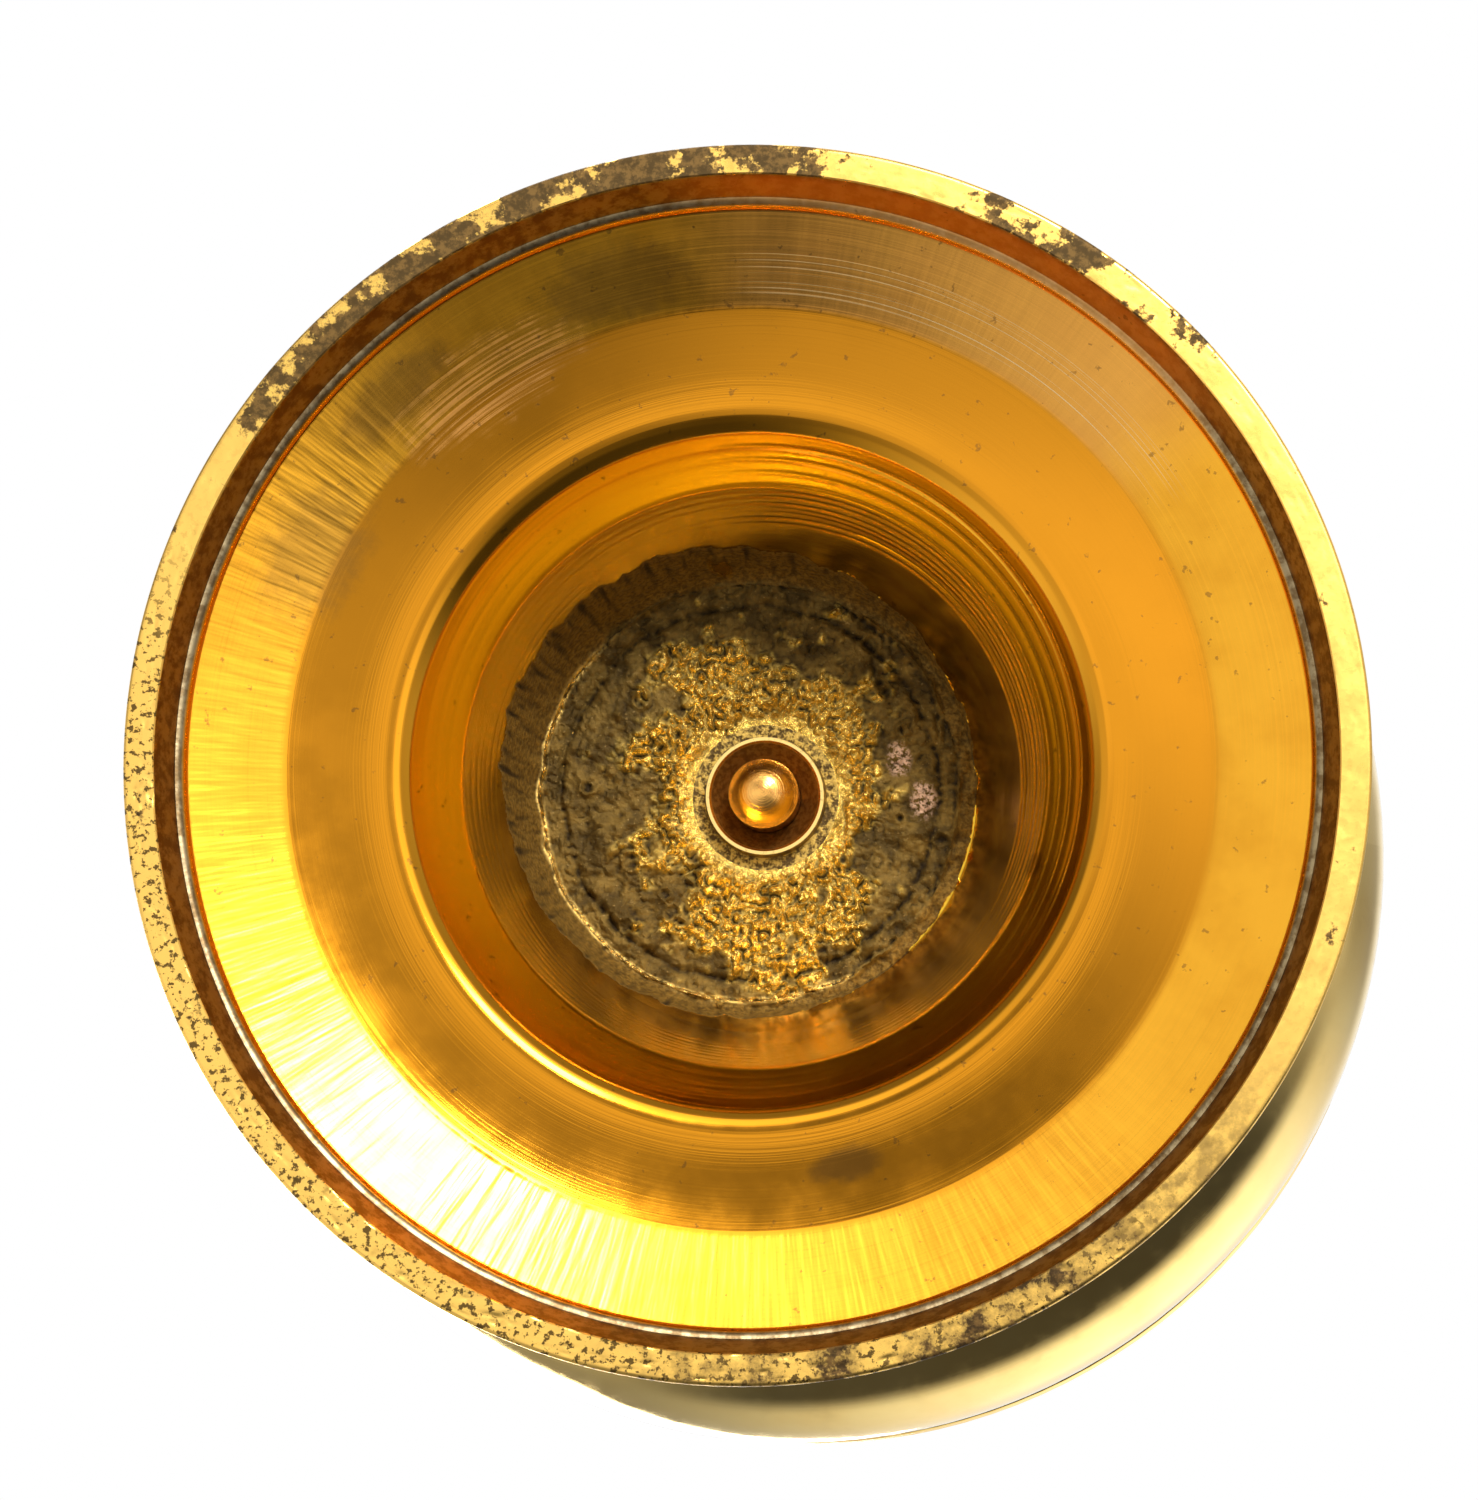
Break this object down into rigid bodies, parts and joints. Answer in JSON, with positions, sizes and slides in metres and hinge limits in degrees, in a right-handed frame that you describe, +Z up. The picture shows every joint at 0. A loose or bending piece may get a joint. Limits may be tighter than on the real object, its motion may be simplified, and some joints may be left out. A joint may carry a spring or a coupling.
{
  "type": "ciborium",
  "caption": "Footed ciborium of cast and spun brass: hollow turned foot, short knopped stem, wide bowl and a lift-off domed lid with orb and cross.",
  "frame": {"origin": "centre of the foot's standing ring, on the surface that the vessel stands on", "axes": "+Z up along the axis of foot, bowl and lid; the cross's arms lie along X, so its broad faces look along -Y and +Y"},
  "size_m": [0.1282, 0.1282, 0.1843],
  "materials": {
    "cast_brass": "cast and turned, worn, with brown patina",
    "turned_brass": "turned and polished, hand worn",
    "spun_brass": "spun and mirror polished",
    "rod_brass": "bare turned rod, coppery tone",
    "hardware_brass": "plain machined nuts and washers",
    "cross_brass": "cast, filed and polished"
  },
  "bodies": {
    "vessel": {"foot": "cast_brass", "nut_washer": "hardware_brass", "dished_nut": "hardware_brass", "tie_rod": "rod_brass", "foot_collar": "turned_brass", "stem_lower": "turned_brass", "knop_core_tube": "hardware_brass", "knop_lower": "turned_brass", "knop_band": "turned_brass", "knop_upper": "turned_brass", "stem_upper": "turned_brass", "calyx": "turned_brass", "bowl_boss": "hardware_brass", "bowl": "spun_brass", "bowl_rim_wire": "turned_brass"},
    "lid": {"lid_dome": "spun_brass", "lid_bezel": "spun_brass", "lid_rim_wire": "turned_brass", "finial_base": "turned_brass", "finial_orb": "turned_brass", "cross": "cross_brass", "finial_stud": "rod_brass", "lid_washer": "hardware_brass", "lid_nut": "hardware_brass"}
  },
  "joints": [
    {"name": "lid_lift", "type": "slide", "parent": "vessel", "child": "lid", "axis": [0, 0, 1], "range_m": [0, 0.11]}
  ]
}
